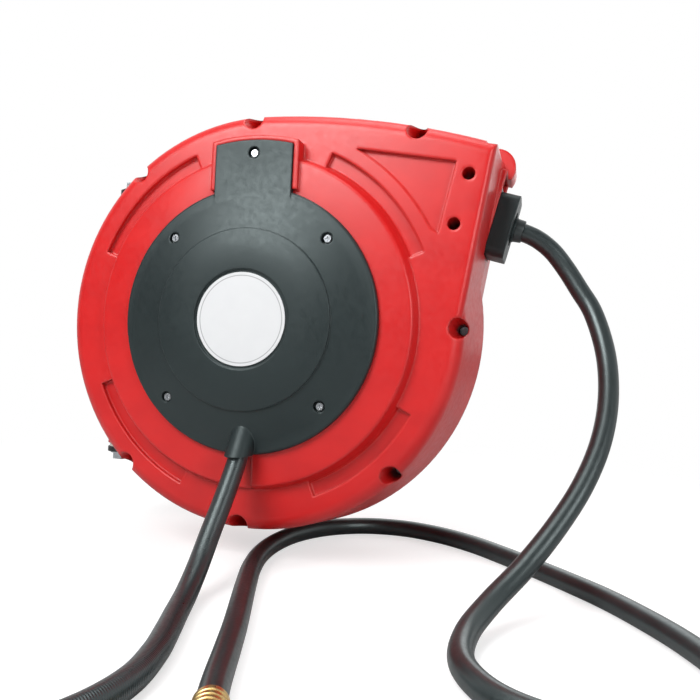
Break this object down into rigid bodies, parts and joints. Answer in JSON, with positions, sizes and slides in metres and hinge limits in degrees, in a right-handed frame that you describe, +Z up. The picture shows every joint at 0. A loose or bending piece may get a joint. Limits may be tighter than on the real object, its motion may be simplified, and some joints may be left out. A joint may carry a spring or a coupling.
{
  "type": "spring-rewind hose reel",
  "caption": "Enclosed hose reel on a swivel wall bracket: drum with power spring in a round two-shell housing, roller-guided hose mouth with stopper, lead-in hose",
  "frame": {"origin": "centre of the four wall-bolt holes, on the wall plane", "axes": "+Z up, the wall on the +Y side, the front of the reel toward -Y, the hose mouth toward +X"},
  "size_m": [0.6349, 0.5969, 0.4417],
  "materials": {
    "shell_red": "injection-moulded red plastic, satin, fine grain",
    "cover_black": "injection-moulded charcoal plastic, satin, fine grain",
    "bracket_black": "black powder coat on bent steel sheet",
    "label_white": "white printed film disc, left blank",
    "zinc_steel": "bright zinc plate",
    "brass": "turned brass",
    "hose_rubber": "smooth black rubber hose with a fine wrapped texture",
    "soft_rubber": "black moulded rubber",
    "nylon": "natural nylon",
    "drum_black": "black moulded plastic",
    "roller_grey": "grey acetal",
    "spring_steel": "blue-grey oiled steel"
  },
  "bodies": {
    "bracket": {"wall_bracket": "bracket_black", "upper_pivot_bolt": "zinc_steel", "lower_pivot_bolt": "zinc_steel"},
    "housing": {"front_shell": "shell_red", "rear_shell": "shell_red", "housing_screws": "zinc_steel", "upper_pivot_bush": "nylon", "lower_pivot_bush": "nylon", "front_cover": "cover_black", "label_disc": "label_white", "cover_screws": "zinc_steel", "rear_cover": "cover_black", "rear_cover_screws": "zinc_steel", "front_bush": "nylon", "swivel_elbow": "brass", "elbow_screw": "zinc_steel", "lead_hose": "hose_rubber", "lead_ferrule": "zinc_steel", "lead_fitting": "brass", "spring_arbor": "spring_steel", "arbor_screws": "zinc_steel", "mouth_frame": "cover_black", "roller_pins": "zinc_steel", "side_roller_pins": "zinc_steel", "stopper_front": "cover_black", "stopper_rear": "cover_black", "stopper_screws": "zinc_steel", "hose_span": "hose_rubber", "hose_tail": "hose_rubber", "bend_sleeve": "soft_rubber", "tail_fitting": "brass", "pawl_pin": "zinc_steel"},
    "drum": {"drum_core": "drum_black", "front_flange": "drum_black", "rear_flange": "drum_black", "flange_screws": "zinc_steel", "ratchet_ring": "spring_steel", "ring_screws": "zinc_steel", "axle_tube": "brass", "axle_seals": "soft_rubber", "hose_nipple": "brass", "inner_hose_end": "hose_rubber", "nipple_clamp": "zinc_steel", "inner_winding": "hose_rubber", "outer_winding": "hose_rubber", "drum_bush": "nylon", "spring_case_lid": "drum_black", "power_spring": "spring_steel"},
    "upper_roller": {"upper_roller": "roller_grey"},
    "lower_roller": {"lower_roller": "roller_grey"},
    "front_side_roller": {"front_side_roller": "roller_grey"},
    "rear_side_roller": {"rear_side_roller": "roller_grey"},
    "pawl": {"pawl": "spring_steel"}
  },
  "joints": [
    {"name": "housing_swivel", "type": "hinge", "parent": "bracket", "child": "housing", "pos_m": [0, -0.126, 0], "axis": [0, 0, 1], "range_deg": [-165, 0]},
    {"name": "drum_spin", "type": "hinge", "parent": "housing", "child": "drum", "pos_m": [0.19, -0.126, 0], "axis": [0, 1, 0], "continuous": true, "deforming": ["power_spring", "hose_span"]},
    {"name": "upper_roller_spin", "type": "hinge", "parent": "housing", "child": "upper_roller", "pos_m": [0.38712, -0.126, 0.13749], "axis": [0, 1, 0], "continuous": true},
    {"name": "lower_roller_spin", "type": "hinge", "parent": "housing", "child": "lower_roller", "pos_m": [0.37599, -0.126, 0.09285], "axis": [0, 1, 0], "continuous": true},
    {"name": "front_side_roller_spin", "type": "hinge", "parent": "housing", "child": "front_side_roller", "pos_m": [0.39893, -0.141, 0.11084], "axis": [0.2419, 0, 0.9703], "continuous": true},
    {"name": "rear_side_roller_spin", "type": "hinge", "parent": "housing", "child": "rear_side_roller", "pos_m": [0.39893, -0.111, 0.11084], "axis": [0.2419, 0, 0.9703], "continuous": true},
    {"name": "pawl_swing", "type": "hinge", "parent": "housing", "child": "pawl", "pos_m": [0.2162, -0.187, -0.104], "axis": [0, 1, 0], "range_deg": [0, 30]}
  ]
}
